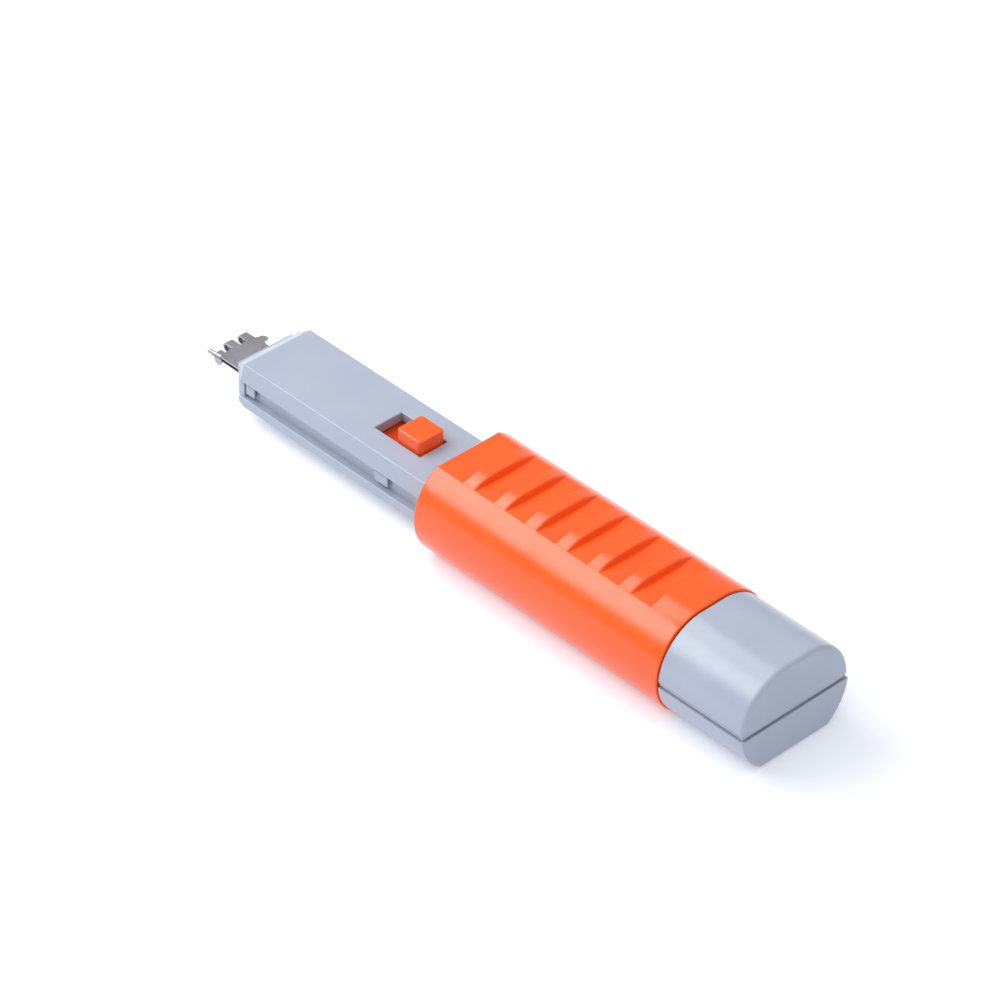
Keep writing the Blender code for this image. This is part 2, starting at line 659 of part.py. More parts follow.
def pull_rod(bench, parent):
    """Headed rod that ties the carriage to the return spring's washer."""
    shank = rod("pull_rod", ROD_RADIUS, ROD_FRONT - ROD_REAR,
                world((ROD_FRONT + ROD_REAR) / 2, 0, ROD_HEIGHT))
    obj = bench.piece("pull_rod", shank, bench.steel, parent)
    head_centre = world(ROD_FRONT + 0.4, 0, ROD_HEIGHT)
    head = rod("pull_rod_head", ROD_HEAD_RADIUS, 1.4, head_centre, "X", 16)
    join(obj, bench.tool("pull_rod_head", head, parent))
    return obj


def return_spring(bench, parent):
    """Compression coil around the rod, between the stop plate and the washer."""
    rear, front = SPRING_LENGTH
    span = front - rear - 2 * SPRING_WIRE
    count = SPRING_TURNS * 12
    curve = bpy.data.curves.new("return_spring", "CURVE")
    curve.dimensions = "3D"
    curve.bevel_depth = SPRING_WIRE * MM
    curve.bevel_resolution = 1
    curve.use_fill_caps = True
    spline = curve.splines.new("POLY")
    spline.points.add(count)
    for i, point in enumerate(spline.points):
        angle = math.tau * SPRING_TURNS * i / count
        station = rear + SPRING_WIRE + span * i / count
        place = world(station, SPRING_RADIUS * math.cos(angle),
                      ROD_HEIGHT + SPRING_RADIUS * math.sin(angle))
        point.co = (*place, 1.0)
    guide = bpy.data.objects.new("return_spring_line", curve)
    bpy.context.scene.collection.objects.link(guide)
    depsgraph = bpy.context.evaluated_depsgraph_get()
    mesh = bpy.data.meshes.new_from_object(guide.evaluated_get(depsgraph))
    bpy.data.objects.remove(guide)
    weld(mesh)
    return bench.piece("return_spring", mesh, bench.steel, parent)


# ------------------------------------------------------------------ sleeve

def sleeve_rails():
    """Ribs inside the sleeve that run on the tongue, and keys that run in its grooves."""
    rear, front = SPIGOT_FRONT + 2 * GAP, SLEEVE_FRONT
    side = SLIDER_HALF_WIDTH + GAP
    top = SLIDER_TOP + GAP
    floor = SLIDER_FLOOR - GAP
    blocks = []
    for sign in (-1, 1):
        blocks.append((rear, front, *sorted((sign * 5.6, sign * 7.2)), top, 18))
        blocks.append((rear, front, *sorted((sign * 5.0, sign * 6.6)), 0.5, floor))
        blocks.append((rear, front, *sorted((sign * side, sign * 12.2)), 10.2, 11.8))
        blocks.append((rear, rear + 3.9, *sorted((sign * 7.25, sign * 12.2)), 5.6, 8.6))
    return boxes("sleeve_rails", blocks)


def sleeve_recesses():
    """Blocks that leave the ribs standing in the flat thumb recess."""
    half = RECESS_HALF_WIDTH
    edges = [SLEEVE_FRONT + 1]
    for i in range(RIB_COUNT):
        rib_front = RIB_FRONT - RIB_PITCH * i
        edges += [rib_front, rib_front - RIB_WIDTH]
    edges.append(RECESS_REAR)
    blocks = [(rear, front, -half, half, RECESS_HEIGHT, 22)
              for front, rear in zip(edges[0::2], edges[1::2])]
    return boxes("sleeve_recesses", blocks)


def guard_sleeve(bench, parent):
    outline = round_section(SLEEVE_RADIUS, SLEEVE_SPREAD, 0.0, 99)
    mesh = section("guard_sleeve", outline, SLEEVE_REAR, SLEEVE_FRONT)
    sleeve = bench.piece("guard_sleeve", mesh, bench.orange, parent)
    soften(sleeve, 0.35, 1)
    hollow = round_section(SLEEVE_RADIUS - SLEEVE_WALL, SLEEVE_SPREAD, SLEEVE_WALL, 16.75)
    hollow_mesh = section("sleeve_hollow", hollow, SLEEVE_REAR - 1, SLEEVE_FRONT - 2)
    hollow_tool = bench.tool("sleeve_hollow", hollow_mesh, parent)
    cut(hollow_tool, bench.tool("sleeve_rails", sleeve_rails(), parent))
    cut(sleeve, hollow_tool)
    side, top = SLIDER_HALF_WIDTH + GAP, SLIDER_TOP + GAP
    key = [(side, SLIDER_FLOOR - GAP), (side, top), (3.2, top), (3.2, 16.75)]
    mouth = key + [(-y, h) for y, h in reversed(key)]
    mouth_mesh = section("sleeve_mouth", mouth, SLEEVE_FRONT - 2.5, SLEEVE_FRONT + 1)
    cut(sleeve, bench.tool("sleeve_mouth", mouth_mesh, parent))
    cut(sleeve, bench.tool("sleeve_recesses", sleeve_recesses(), parent))
    rivet_seat = rod("rivet_seat", RIVET_RADIUS + GAP, 1.5, world(RIVET_STATION, 0, 1.9), "Z",
                     12)
    cut(sleeve, bench.tool("rivet_seat", rivet_seat, parent))
    return sleeve


def friction_spring(bench, parent):
    """Bowed leaf on the sleeve's floor that presses on the tongue."""
    start, stop, low, bow, thickness = 26.5, 46.0, 2.1, 0.35, 0.3
    steps = 8
    along = [start + (stop - start) * i / steps for i in range(steps + 1)]
    rise = [low + bow * math.sin(math.pi * i / steps) for i in range(steps + 1)]
    upper = [(s, h + thickness) for s, h in zip(along, rise)]
    lower = list(zip(along, rise))
    mesh = side_view("friction_spring", lower + upper[::-1], -2.2, 2.2)
    leaf = bench.piece("friction_spring", mesh, bench.steel, parent)
    hole = rod("leaf_hole", RIVET_RADIUS + GAP, 3, world(RIVET_STATION, 0, 2.3), "Z", 12)
    cut(leaf, bench.tool("leaf_hole", hole, parent))
    return leaf


def spring_rivet(bench, parent):
    """Stake that fixes the friction spring to the sleeve's floor."""
    mesh = rod("spring_rivet", RIVET_RADIUS, 1.3, world(RIVET_STATION, 0, 2.15), "Z", 12)
    return bench.piece("spring_rivet", mesh, bench.steel, parent)


def main():
    clear_scene()
    bench = Bench()
    corners = slider_corner_cutter(bench)
    upper_shell(bench, corners)
    lower_shell(bench, corners)
    nose_guide(bench)
    screw(bench, "rear_screw", REAR_SCREW)
    screw(bench, "front_screw", FRONT_SCREW)
    stop_plate(bench)
    ring(bench, "rubber_bumper", BUMPER, 3.0, bench.black)

    slide = bench.empty("carriage_slide", BUTTON_MIDDLE, ROD_HEIGHT)
    carriage(bench, slide)
    thumb_button(bench, slide)
    button_screw(bench, slide)
    head_upper_plate(bench, slide)
    head_lower_plate(bench, slide)
    head_pin(bench, "head_pin_rear", PIN_STATIONS[0], slide)
    head_pin(bench, "head_pin_front", PIN_STATIONS[1], slide)
    pull_rod(bench, slide)
    ring(bench, "thrust_washer", WASHER, 3.2, bench.steel, slide)
    ring(bench, "rod_nut", NUT, 2.6, bench.steel, slide, 6)
    return_spring(bench, slide)

    runner = bench.empty("sleeve_slide", (SLEEVE_REAR + SLEEVE_FRONT) / 2, AXIS_HEIGHT)
    guard_sleeve(bench, runner)
    friction_spring(bench, runner)
    spring_rivet(bench, runner)


main()
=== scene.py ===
"""Looks of a slim hand knife: grey slider and cap, orange guard sleeve, stamped steel head.

Lengths in the shape functions are millimetres. A station is a distance forward from the
rear face of the cap, and a height is a distance above the plane the tool rests on.
"""
import json
import math

import bmesh
import bpy
from mathutils import Matrix, Vector

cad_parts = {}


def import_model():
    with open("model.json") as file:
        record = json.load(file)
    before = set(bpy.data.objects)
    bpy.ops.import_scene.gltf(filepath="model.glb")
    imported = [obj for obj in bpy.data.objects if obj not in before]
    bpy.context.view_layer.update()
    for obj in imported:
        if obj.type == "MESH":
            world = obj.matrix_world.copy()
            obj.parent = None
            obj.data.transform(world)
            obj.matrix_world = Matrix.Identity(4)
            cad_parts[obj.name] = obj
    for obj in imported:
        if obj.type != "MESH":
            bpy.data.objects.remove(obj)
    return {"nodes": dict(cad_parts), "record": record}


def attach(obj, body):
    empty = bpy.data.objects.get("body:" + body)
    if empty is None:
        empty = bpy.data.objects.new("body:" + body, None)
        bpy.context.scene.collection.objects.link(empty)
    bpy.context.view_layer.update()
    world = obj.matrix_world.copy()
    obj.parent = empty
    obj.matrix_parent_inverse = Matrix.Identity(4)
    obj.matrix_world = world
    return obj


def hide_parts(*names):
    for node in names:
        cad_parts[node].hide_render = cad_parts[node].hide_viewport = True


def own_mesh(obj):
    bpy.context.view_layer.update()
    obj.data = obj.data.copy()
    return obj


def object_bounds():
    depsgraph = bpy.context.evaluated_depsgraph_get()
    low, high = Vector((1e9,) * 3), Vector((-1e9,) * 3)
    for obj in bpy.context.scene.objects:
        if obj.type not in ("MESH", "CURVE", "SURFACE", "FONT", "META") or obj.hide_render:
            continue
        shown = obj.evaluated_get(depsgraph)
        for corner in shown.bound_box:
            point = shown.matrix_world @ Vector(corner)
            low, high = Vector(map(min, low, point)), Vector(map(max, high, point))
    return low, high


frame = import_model()
CAD_BOX = [list(map(float, corner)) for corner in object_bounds()]

MM = 0.001
REAR_X = CAD_BOX[1][0] / MM
GAP = 0.3                     # clearance between neighbouring pieces

# Round-sided section shared by the sleeve and the cap
AXIS_HEIGHT = 9.05            # height of the side arcs' centres
SLEEVE_RADIUS = 10.6
SLEEVE_SPREAD = 2.465         # half distance between the two arc centres
SLEEVE_WALL = 1.8
SLEEVE_CEILING = 16.75
SLEEVE_REAR = 20.4
SLEEVE_FRONT = 81.66
SLEEVE_END_RADII = (0.3, 0.45)   # rounding of the rear and of the front end
MOUTH_DEPTH = 2.5
THUMB_KEYWAY = 3.2            # half width of the notch over the slider's top in the mouth
RIVET_STATION = 28.5
RIVET_SEAT = 1.1

# Rails inside the sleeve, as ranges out from the middle or up from the rest plane
RAIL_ROOT = 12.2              # inside the sleeve's wall, so that the two merge
TOP_RAIL = (5.6, 7.2)
BOTTOM_RAIL = (5.0, 6.6)
SIDE_RAIL_HEIGHTS = (10.2, 11.8)
KEY_INNER = 7.25
KEY_HEIGHTS = (5.6, 8.6)
KEY_LENGTH = 3.9

# Thumb recess and ribs on top of the sleeve
RECESS_HEIGHT = 18.35
RECESS_HALF_WIDTH = 7.35
RECESS_REAR = 27.5
RECESS_SIDE_WIDTH = 0.1       # how wide the step between the recess and a shoulder is
RECESS_SIDE_STEPS = (-0.3, -0.14, -0.07, -0.02, 0.02, 0.07)
RIB_COUNT = 6
RIB_FRONT = 74.6
RIB_PITCH = 7.85
RIB_WIDTH = 2.7
PATCH_STEP = 0.05             # how far the ribs' crowns sit below the shoulders
# How a rib's side goes down to the floor: distance out from its edge, share of the drop
RIB_STEP = ((-0.32, 0.0), (-0.16, 0.0), (-0.08, 0.02), (0.0, 0.08), (0.06, 0.17),
            (0.11, 0.3), (0.15, 0.5), (0.18, 0.75), (0.2, 0.97), (0.22, 1.0), (0.34, 1.0))

# Rear cap
CAP_RADIUS = 10.2
CAP_SPREAD = 2.6
CAP_LENGTH = 20.1
CAP_FLOOR = 0.45
CAP_GROOVE_TOP = 9.35
CAP_GROOVE_BOTTOM = 8.25
CAP_GROOVE_DEPTH = 0.4
CAP_GROOVE_ROUNDING = 0.36
CAP_FLOOR_ROUNDING = 1.0
CAP_FRONT_ROUNDING = 0.12
TOP_REAR_ROUNDING = 1.0       # around the rear face of the cap's upper half
BOTTOM_REAR_ROUNDING = 1.5
LIP_BOTTOM = 8.55             # how far the upper cap half reaches into the lower one
CAP_WALL = 2.2
CAP_HOLLOWS = ((CAP_WALL, 7.0), (13.0, 18.0))   # a web between them takes the rear screw
SPIGOT_REAR = 19.9            # inside the cap's front wall, so that the two merge
SPIGOT_FRONT = 23.4
SPIGOT_BOTTOM = 2.1
SPIGOT_TOP = 16.45

# Narrow slider that carries the head; it runs on through the sleeve as a tongue
SLIDER_HALF_WIDTH = 8.04
SLIDER_TOP = 13.44
SLIDER_FLOOR = 3.25
SLIDER_REAR = 20.0
SLIDER_FRONT = 135.3
UPPER_EDGE = 9.0              # lower edge of the upper shell's side walls
FLANGE_TOP = 5.25             # upper edge of the lower shell's flanges
LIP_OUTER = 6.5
SKIRT_INNER = 6.9
LIP_TOP = 9.8
CAVITY_HALF_WIDTH = 5.4
CAVITY_FLOOR = 4.8
CAVITY_TOP = 11.5
CAVITY_EASE = 5.6             # half width of the upper shell's hollow, above the lips

# Planes that shape the slider's front: station of a point on it and its direction
CORNER_PLANE = (133.15, (-1.04, 2.1, 0.325))
LIP_CORNER_PLANE = (133.2, (-1.04, 2.1, 0))
LIP_CORNER_HALF_WIDTH = 7.6
BROW_PLANE = (133.05, (-1.14, 0, 2.25))
CHIN_PLANE = (133.6, (-0.75, 0, -1.7))

# Snap tabs of the upper shell; the pads stop short of the skirt, a thin web joins them
SNAP_TABS = ((94.9, 98.4), (131.5, 133.8))
TAB_FOOT = 6.0
TAB_OUTER = 7.3
TAB_TOP = 8.15
WEB_EASE = 0.2                # how much narrower a web is than its pad, at each side
POST_REAR = SNAP_TABS[1][1] + GAP   # lower shell's corner posts ahead of the front tabs
POST_OUTER = 7.5

# Screws that hold the two shells: station, foot and seat of the bore, end of the pilot hole
SCREWS = ((10.0, 0.0, 4.3, 10.6), (30.0, 2.5, 5.2, 11.3))
SCREW_BORE = 1.4
SCREW_SINK = 2.6
BORE_SPAN = (0.5, 9.5)
PILOT_FOOT = 8.0
BOSS = (27, 33, -3, 3)        # rear, front, left and right side of the front screw's boss
BOSS_SPLIT = (8.3, 8.6)       # top of its lower half, foot of its upper half
LIP_POCKETS = ((73.7, 75.5), (128.7, 131.3))
POCKET_SIDES = (5.0, 6.2)

# Thumb slot and button
SLOT_REAR = 90.42
SLOT_FRONT = 102.55
SLOT_HALF_WIDTH = 3.31
SLOT_FLARE = 0.14             # chamfer around the slot's rim
BUTTON_LENGTH = 6.25
BUTTON_HALF_WIDTH = 3.05
BUTTON_TOP = 16.1
BUTTON_MIDDLE = SLOT_REAR + GAP + BUTTON_LENGTH / 2
BUTTON_CORNER = 0.75
BUTTON_ROUNDING = 0.3
BUTTON_BORE = (1.1, 10.8, 14.8)   # radius, foot and end of the screw's hole from below
CARRIAGE_TOP = CAVITY_TOP - GAP

# Steel head
PLATE_TOP = 7.55
PLATE_THICKNESS = 0.35
LOWER_PLATE_TOP = 7.15
LOWER_PLATE_THICKNESS = 0.75
OVERALL = 147.7
TANG_REAR = 108.0
TANG_HALF_WIDTH = 4.1
HEAD_HALF_WIDTH = 4.5
WIDE_REAR = 137.5             # station where the tang widens into the head
PIN_STATIONS = (111.5, 116.0)
PIN_RADIUS = 1.1
FINGERS = ((-1.1, 0.65), (2.4, 4.15))   # left and right edges of the curled fingers
CURL_RADIUS = 1.0
CURL_STATION = OVERALL - CURL_RADIUS
ROLL_RADIUS = 0.47
ROLL_BORE = 0.2
ROLL_START = (144.4, -4.15)   # station and y of the rolled edge's ends
ROLL_END = (OVERALL, -4.42)
ROLL_HEIGHT = PLATE_TOP - ROLL_RADIUS + 0.02
SEAM_SPAN = (144.0, 146.6)
TAB_SPAN = (144.65, 146.7)    # stations of the tab that hangs from the rolled edge
TAB_BOTTOM = 4.8
TAB_SIDES = (-4.15, -3.8)

# Return spring
SPRING_ENDS = (58.8, 73.7)
SPRING_RADIUS = 2.3
SPRING_WIRE = 0.3
SPRING_TURNS = 6
COIL_STEPS = 28               # rings in each turn
WIRE_SIDES = 12
ROD_HEIGHT = 8.3

# Nose guide that the steel head slides in
NOSE_REAR = 126.0
NOSE_FRONT = 137.0
NOSE_HALF_WIDTH = 6.85
NOSE_BOTTOM = 4.2
NOSE_TOP = 11.2
NOSE_CHAMFER = (136.4, 6.3)   # station where it starts, half width left at the front
NOSE_BODY_FRONT = 136.0
NOSE_FLOOR = CAVITY_FLOOR + GAP
NOSE_KEYS = (129.0, 131.0)
NOSE_KEY_HALF_WIDTH = 5.9
NOSE_KEY_TOP = 9.4
NOSE_SLOT = (4.5, 5.6, 7.85)  # half width, floor and ceiling

# Soft lights around the tool: azimuth and elevation in degrees, distance and size in
# metres, power in watts
SOFT_BOXES = {"left_softbox": (-152, 42, 0.75, (0.7, 0.46), 4.6),
              "far_softbox": (168, 54, 0.8, (0.3, 0.3), 0.8),
              "near_fill": (-68, 57, 1.0, (0.8, 0.36), 1.6),
              "rear_strip": (12, 32, 0.9, (1.0, 0.1), 0.85)}

# Camera: long lens, at the tool's rear left, looking down at it; lengths in millimetres
CAMERA_AZIMUTH = 46.99
CAMERA_ELEVATION = 37.71
CAMERA_LENS = 168.2
CAMERA_DISTANCE = 832.6
CAMERA_AIM = (80, 0, 8.85)    # station, y and height
CAMERA_SHIFT = (4.75, -0.81)  # how far the aim is moved right and up in the picture


def world(station, y, height):
    """Place in the frame, in metres."""
    return Vector(((REAR_X - station) * MM, y * MM, height * MM))


# ------------------------------------------------------------------ meshes

def finish_mesh(name, bm, angle=35):
    """Object from a bmesh, with outward faces and smooth shading below an angle."""
    bmesh.ops.recalc_face_normals(bm, faces=bm.faces)
    mesh = bpy.data.meshes.new(name)
    bm.to_mesh(mesh)
    bm.free()
    mesh.shade_smooth()
    mesh.set_sharp_from_angle(angle=math.radians(angle))
    obj = bpy.data.objects.new(name, mesh)
    bpy.context.scene.collection.objects.link(obj)
    return obj


def loft(name, rings, angle=35):
    """Closed solid through rings of world points, with a flat face at each end."""
    bm = bmesh.new()
    rows = [[bm.verts.new(point) for point in ring] for ring in rings]
    for near, far in zip(rows, rows[1:]):
        for i in range(len(near)):
            j = (i + 1) % len(near)
            bm.faces.new((near[i], near[j], far[j], far[i]))
    bm.faces.new(rows[0])
    bm.faces.new(rows[-1])
    return finish_mesh(name, bm, angle)


def section(name, outline, rear, front):
    """Prism along the tool from an outline of (y, height) points."""
    return loft(name, [[world(s, y, h) for y, h in outline] for s in (rear, front)])


def plan(name, outline, bottom, top):
    """Level plate from an outline of (station, y) points."""
    return loft(name, [[world(s, y, h) for s, y in outline] for h in (bottom, top)])


def side_view(name, outline, left, right):
    """Plate standing along the tool from an outline of (station, height) points."""
    return loft(name, [[world(s, y, h) for s, h in outline] for y in (left, right)])


def boxes(name, blocks):
    """Blocks, each (rear, front, left, right, bottom, top), in one object."""
    bm = bmesh.new()
    for rear, front, left, right, bottom, top in blocks:
        size = Vector((front - rear, right - left, top - bottom)) * MM
        centre = world((rear + front) / 2, (left + right) / 2, (bottom + top) / 2)
        matrix = Matrix.Translation(centre) @ Matrix.Diagonal(size).to_4x4()
        bmesh.ops.create_cube(bm, size=1.0, matrix=matrix)
    return finish_mesh(name, bm)


def cylinder(name, radius, length, centre, axis="X", sides=32):
    """Round bar along the tool's X axis or standing along Z."""
    turns = {"X": Matrix.Rotation(math.pi / 2, 4, "Y"), "Z": Matrix.Identity(4)}
    bm = bmesh.new()
    bmesh.ops.create_cone(bm, cap_ends=True, segments=sides, radius1=radius * MM,
                          radius2=radius * MM, depth=length * MM,
                          matrix=Matrix.Translation(centre) @ turns[axis])
    return finish_mesh(name, bm)


def upright_hole(name, radius, station, bottom, top, sides=32):
    """Cutter for a round hole on the tool's middle line, between two heights."""
    centre = world(station, 0, (bottom + top) / 2)
    return cylinder(name, radius, top - bottom, centre, "Z", sides)


def arc(centre, radius, start, stop, steps):
    """Points around a centre, from one angle to another in degrees."""
    angles = [math.radians(start + (stop - start) * i / steps) for i in range(steps + 1)]
    return [(centre[0] + radius * math.cos(a), centre[1] + radius * math.sin(a))
            for a in angles]


def mirrored(right):
    """Whole outline from its right half."""
    return right + [(-y, h) for y, h in reversed(right)]


def round_section(radius, spread, floor, ceiling, steps=40, extra=()):
    """Outline with two side arcs, cut flat at a floor and at a ceiling.

    Extra points are set on the arcs where they pass the given y values.
    """
    low = math.asin(max(-1.0, (floor - AXIS_HEIGHT) / radius))
    high = math.asin(min(1.0, (ceiling - AXIS_HEIGHT) / radius))
    angles = [low + (high - low) * i / steps for i in range(steps + 1)]
    angles += [math.acos((y - spread) / radius) for y in extra]
    angles.sort()
    return mirrored([(spread + radius * math.cos(a), AXIS_HEIGHT + radius * math.sin(a))
                     for a in angles])


def inset(outline, amount):
    """Outline moved inwards by an amount along its own normals."""
    moved = []
    count = len(outline)
    for i, (y, h) in enumerate(outline):
        before = outline[i - 1]
        after = outline[(i + 1) % count]
        dy, dh = after[0] - before[0], after[1] - before[1]
        size = math.hypot(dy, dh) or 1.0
        moved.append((y - dh / size * amount, h + dy / size * amount))
    return moved


def smooth(x):
    """Ease from 0 to 1 with a level start and end."""
    x = min(1.0, max(0.0, x))
    return x * x * (3 - 2 * x)


def modifier(obj, kind, **settings):
    """Add a modifier with its settings."""
    mod = obj.modifiers.new(kind.lower(), kind)
    for key, value in settings.items():
        setattr(mod, key, value)


def bake(obj):
    """Apply an object's modifiers to its mesh."""
    depsgraph = bpy.context.evaluated_depsgraph_get()
    mesh = bpy.data.meshes.new_from_object(obj.evaluated_get(depsgraph))
    obj.modifiers.clear()
    obj.data = mesh


def carve(obj, *tools, operation="DIFFERENCE"):
    """Boolean each tool with the object in turn, and drop the tools."""
    for tool in tools:
        modifier(obj, "BOOLEAN", operation=operation, object=tool)
        bake(obj)
        bpy.data.objects.remove(tool)
    return obj


def round_edges(obj, width, segments=3, angle=30):
    """Bevel the edges that turn by more than an angle."""
    modifier(obj, "BEVEL", width=width * MM, segments=segments, limit_method="ANGLE",
             angle_limit=math.radians(angle))
    bake(obj)
    return obj


def settle(obj, angle=40):
    """Flat faces shade flat and rounded edges shade round."""
    obj.data.shade_smooth()
    obj.data.set_sharp_from_angle(angle=math.radians(angle))
    modifier(obj, "WEIGHTED_NORMAL", keep_sharp=True, weight=60)
    bake(obj)


def slice_off(obj, point, normal):
    """Cut away what lies on the normal's side of a plane, and close the cut."""
    bm = bmesh.new()
    bm.from_mesh(obj.data)
    cut = bmesh.ops.bisect_plane(bm, geom=bm.verts[:] + bm.edges[:] + bm.faces[:],
                                 plane_co=point, plane_no=normal, clear_outer=True)
    rim = [e for e in cut["geom_cut"] if isinstance(e, bmesh.types.BMEdge)]
    bmesh.ops.edgeloop_fill(bm, edges=rim)
    bmesh.ops.recalc_face_normals(bm, faces=bm.faces)
    bm.to_mesh(obj.data)
    bm.free()


# ------------------------------------------------------------------ materials

class Nodes:
    """Short way to add and link shader nodes."""

    def __init__(self, name):
        self.material = bpy.data.materials.new(name)
        self.material.use_nodes = True
        self.tree = self.material.node_tree
        self.shader = self.tree.nodes["Principled BSDF"]
        self.place = self.tree.nodes.new("ShaderNodeTexCoord").outputs["Object"]

    def add(self, kind, **inputs):
        node = self.tree.nodes.new("ShaderNode" + kind)
        for key, value in inputs.items():
            self.feed(node.inputs[key.replace("_", " ")], value)
        return node

    def feed(self, socket, value):
        if isinstance(value, bpy.types.NodeSocket):
            self.tree.links.new(value, socket)
        else:
            socket.default_value = value

    def noise(self, scale, detail=2.0, stretch=(1, 1, 1), roughness=0.5):
        mapping = self.add("Mapping", Vector=self.place, Scale=stretch)
        return self.add("TexNoise", Vector=mapping.outputs["Vector"], Scale=scale,
                        Detail=detail, Roughness=roughness).outputs["Fac"]

    def spread(self, value, low, high):
        """Map 0..1 noise, which stays near 0.5, to a range."""
        node = self.add("MapRange", Value=value)
        node.inputs["From Min"].default_value = 0.3
        node.inputs["From Max"].default_value = 0.7
        node.inputs["To Min"].default_value = low
        node.inputs["To Max"].default_value = high
        return node.outputs["Result"]

    def mix(self, factor, first, second):
        node = self.tree.nodes.new("ShaderNodeMix")
        node.data_type = "RGBA"
        for socket, value in zip((node.inputs[0], node.inputs[6], node.inputs[7]),
                                 (factor, first, second)):
            self.feed(socket, value)
        return node.outputs[2]

    def bump(self, height, distance, strength=1.0, normal=None):
        node = self.add("Bump", Height=height, Distance=distance, Strength=strength)
        if normal:
            self.feed(node.inputs["Normal"], normal)
        return node.outputs["Normal"]

    def set(self, **inputs):
        for key, value in inputs.items():
            self.feed(self.shader.inputs[key.replace("_", " ")], value)


def srgb(red, green, blue):
    """Linear colour from 8-bit display values."""
    def linear(value):
        value /= 255
        return value / 12.92 if value <= 0.04045 else ((value + 0.055) / 1.055) ** 2.4
    return (linear(red), linear(green), linear(blue), 1.0)


def moulded_plastic(name, base, tint, rough, specular):
    """Injection-moulded plastic: slow colour drift, fine spark-eroded grain."""
    n = Nodes(name)
    drift = n.noise(90, 3)
    colour = n.mix(n.spread(drift, 0.0, 1.0), base, tint)
    speck = n.spread(n.noise(5200, 2), 0.0, 1.0)
    colour = n.mix(n.spread(n.noise(1600, 3), 0.0, 0.06), colour, tint)
    roughness = n.spread(n.noise(260, 4), rough - 0.03, rough + 0.04)
    grain = n.bump(speck, 0.000012, 0.5)
    wave = n.bump(n.noise(140, 1), 0.00003, 0.35, grain)
    n.set(Base_Color=colour, Roughness=roughness, Normal=wave)
    n.shader.inputs["Specular IOR Level"].default_value = specular
    n.shader.inputs["IOR"].default_value = 1.5
    return n.material


def stamped_steel(name, base, dark, rough, grain_axis=(1, 12, 12)):
    """Rolled steel sheet: fine grain lines along it, faint stains, darker specks."""
    n = Nodes(name)
    grain = n.noise(900, 6, grain_axis, 0.7)
    cloud = n.noise(420, 3)
    colour = n.mix(n.spread(cloud, 0.0, 0.35), base, dark)
    colour = n.mix(n.spread(grain, 0.0, 0.25), colour, dark)
    roughness = n.spread(grain, rough - 0.06, rough + 0.1)
    n.set(Base_Color=colour, Roughness=roughness, Metallic=1.0,
          Normal=n.bump(grain, 0.00001, 0.6))
    return n.material


def rubber(name):
    """Matt black rubber with a fine grit."""
    n = Nodes(name)
    grit = n.noise(2600, 4)
    n.set(Base_Color=n.mix(n.spread(grit, 0, 1), (0.02, 0.02, 0.02, 1), (0.05, 0.05, 0.05, 1)),
          Roughness=n.spread(grit, 0.65, 0.85), Normal=n.bump(grit, 0.00002, 0.6))
    return n.material


GREY = moulded_plastic("grey_plastic", (0.354, 0.393, 0.474, 1), (0.332, 0.37, 0.454, 1),
                       0.23, 0.55)
ORANGE = moulded_plastic("orange_plastic", (0.92, 0.1, 0.005, 1), (0.9, 0.088, 0.004, 1),
                         0.21, 0.6)
# Darker, less glossy copy of the orange plastic: painted shade for the carriage at the bottom
# of the thumb slot
SLOT_SHADE_ORANGE = moulded_plastic("orange_plastic_painted_shade", (0.56, 0.05, 0.002, 1),
                              (0.5, 0.042, 0.002, 1), 0.5, 0.15)
STEEL = stamped_steel("stamped_steel", srgb(184, 182, 188), srgb(140, 137, 141), 0.3)
BLACKENED = stamped_steel("blackened_steel", srgb(38, 36, 38), srgb(20, 19, 22), 0.5)
ZINC = stamped_steel("zinc_steel", srgb(198, 200, 204), srgb(160, 164, 170), 0.34, (3, 3, 3))
SPRING = stamped_steel("spring_steel", srgb(150, 150, 154), srgb(96, 96, 100), 0.3)
RUBBER = rubber("black_rubber")
SLOT_MATERIALS = {"grey_plastic": GREY, "orange_plastic": ORANGE, "stamped_steel": STEEL,
                  "blackened_steel": BLACKENED, "zinc_steel": ZINC, "spring_steel": SPRING,
                  "black_rubber": RUBBER}


def dress(obj, slot, body, node):
    """Give a piece its material, its body and the CAD node it stands for."""
    obj.data.materials.clear()
    obj.data.materials.append(SLOT_MATERIALS[slot])
    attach(obj, body)
    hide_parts(node)


# ------------------------------------------------------------------ sleeve

def rib_edges():
    """Stations where the recess floor and the ribs meet, from the front back."""
    edges = []
    for i in range(RIB_COUNT):
        front = RIB_FRONT - RIB_PITCH * i
        edges += [front, front - RIB_WIDTH]
    return edges + [RECESS_REAR]


def recess_share(station):
    """1 on the recess floor, 0 on a rib, with steep rounded steps between."""
    inside = -99.0
    edges = rib_edges()
    for front, rear in zip(edges[0::2], edges[1::2] + [0]):
        inside = max(inside, min(front - station, station - rear))
    away = -inside
    for (near, low), (far, high) in zip(RIB_STEP, RIB_STEP[1:]):
        if near <= away <= far:
            return low + (high - low) * (away - near) / (far - near)
    return 0.0 if away < 0 else 1.0


def sleeve_outline(base, station):
    """Round section with the thumb recess and the ribs' crowns worked into its top."""
    share = recess_share(station)
    points = []
    for y, h in base:
        if h > RECESS_HEIGHT - 1.0:
            within = smooth((RECESS_HALF_WIDTH - abs(y)) / RECESS_SIDE_WIDTH + 0.5)
            crown = h - PATCH_STEP * within
            h = crown + (min(crown, RECESS_HEIGHT) - crown) * share * within
        points.append((y, h))
    return points


def rounded_end(station, radius, side):
    """Rings around an end's rounded edge, from its face inwards: station, inset."""
    return [(station - side * radius * (1 - math.sin(a)), radius * (1 - math.cos(a)))
            for a in (math.radians(turn) for turn in (90, 67, 45, 22, 0))]


